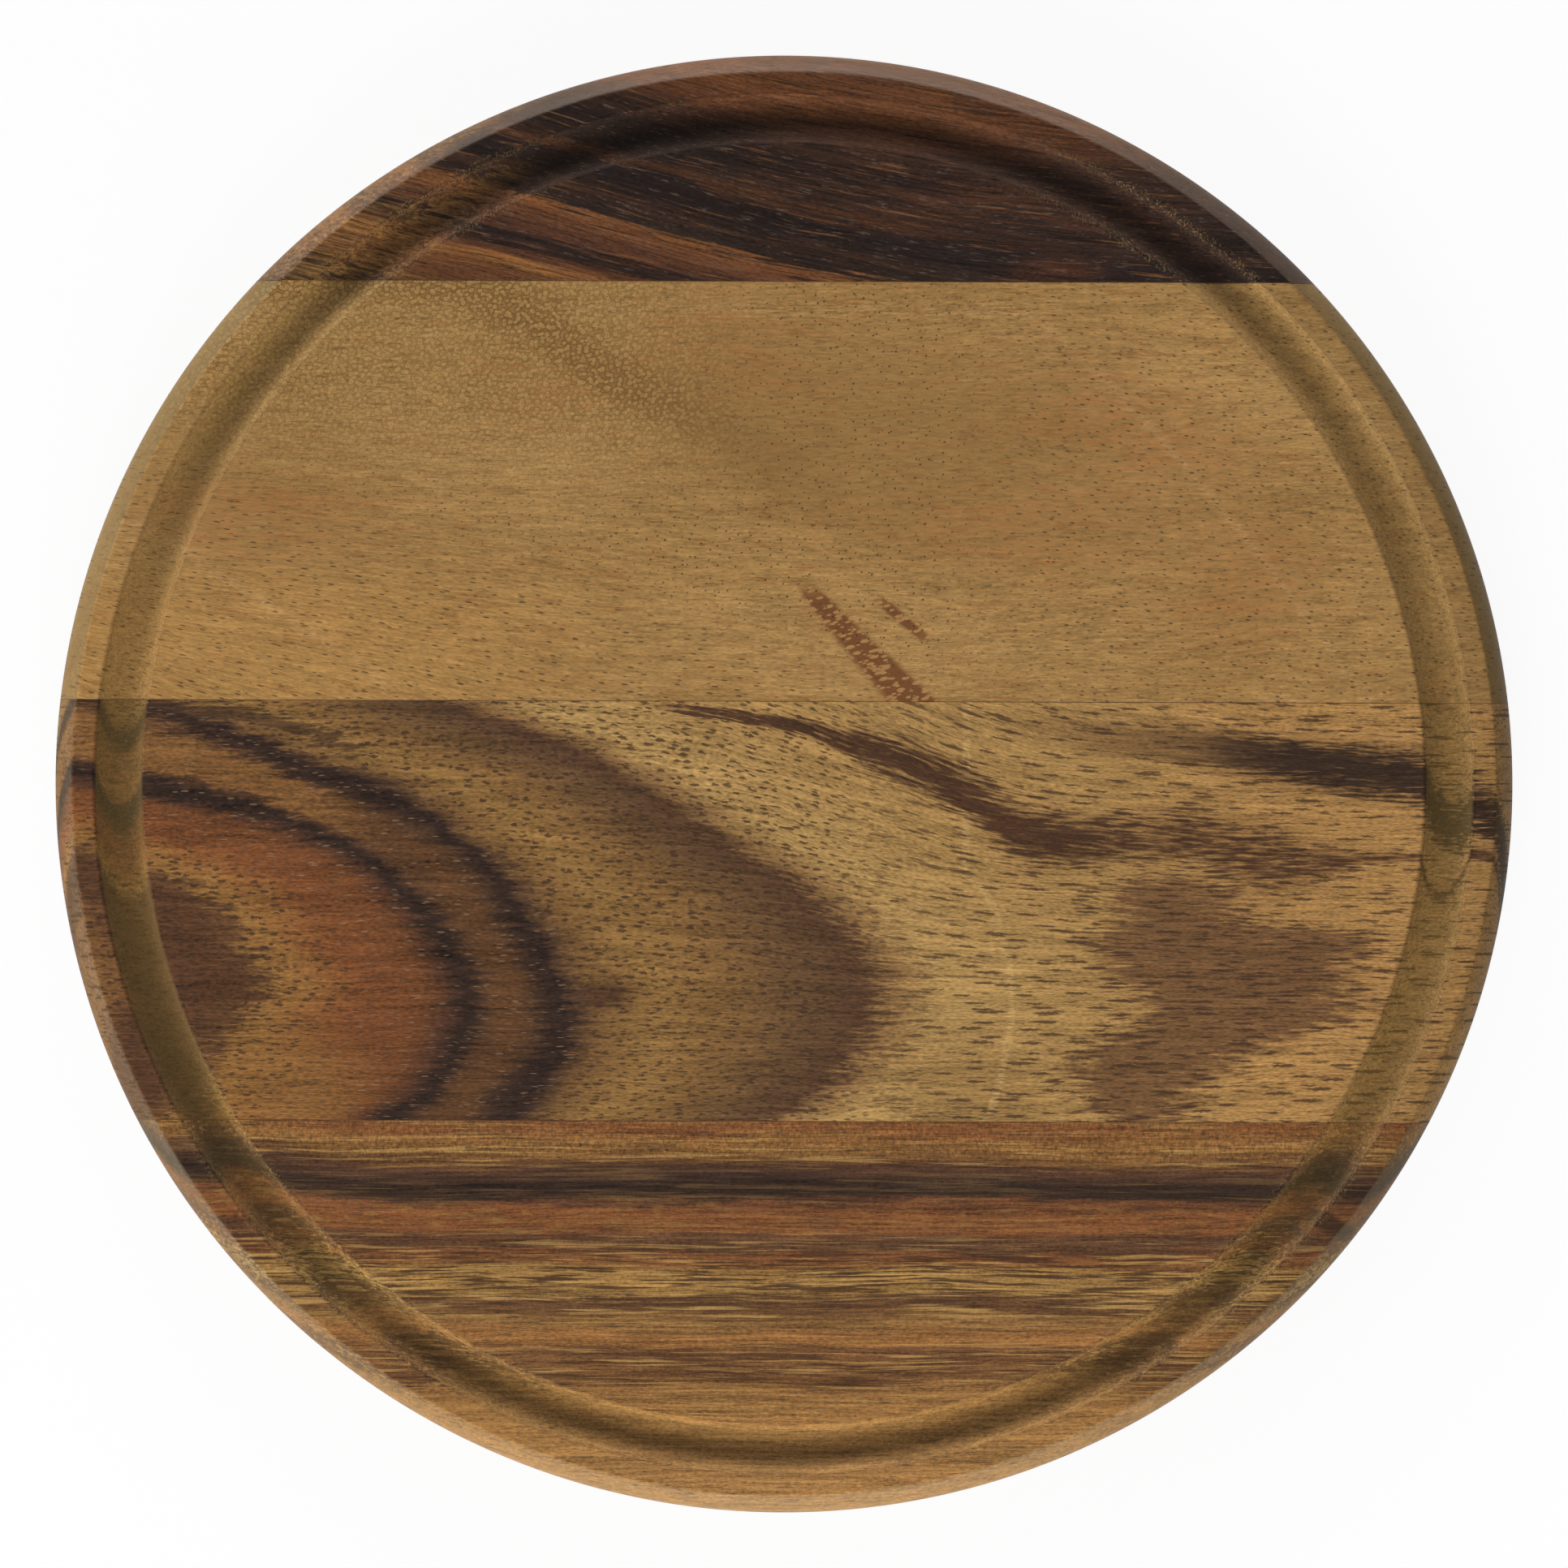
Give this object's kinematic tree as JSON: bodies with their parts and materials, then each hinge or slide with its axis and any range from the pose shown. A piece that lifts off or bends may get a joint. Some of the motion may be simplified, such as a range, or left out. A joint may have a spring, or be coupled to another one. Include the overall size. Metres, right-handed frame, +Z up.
{
  "type": "pizza serving board",
  "caption": "Round edge-glued wooden board with a half-round rim and a juice groove, for cutting and serving a pizza.",
  "frame": {"origin": "centre of the flat underside", "axes": "+Z up through the serving face, X along the grain and the glue lines, +Y from the striped stave towards the dark stave"},
  "size_m": [0.32, 0.32, 0.015],
  "materials": {
    "dark_heartwood": "oiled, satin",
    "pale_sapwood": "oiled, satin",
    "figured_wood": "oiled, satin",
    "striped_wood": "oiled, satin",
    "cured_glue": "satin"
  },
  "bodies": {
    "root": {"dark_stave": "dark_heartwood", "pale_stave": "pale_sapwood", "figured_stave": "figured_wood", "striped_stave": "striped_wood", "dark_pale_glue_line": "cured_glue", "pale_figured_glue_line": "cured_glue", "figured_striped_glue_line": "cured_glue"}
  },
  "joints": []
}
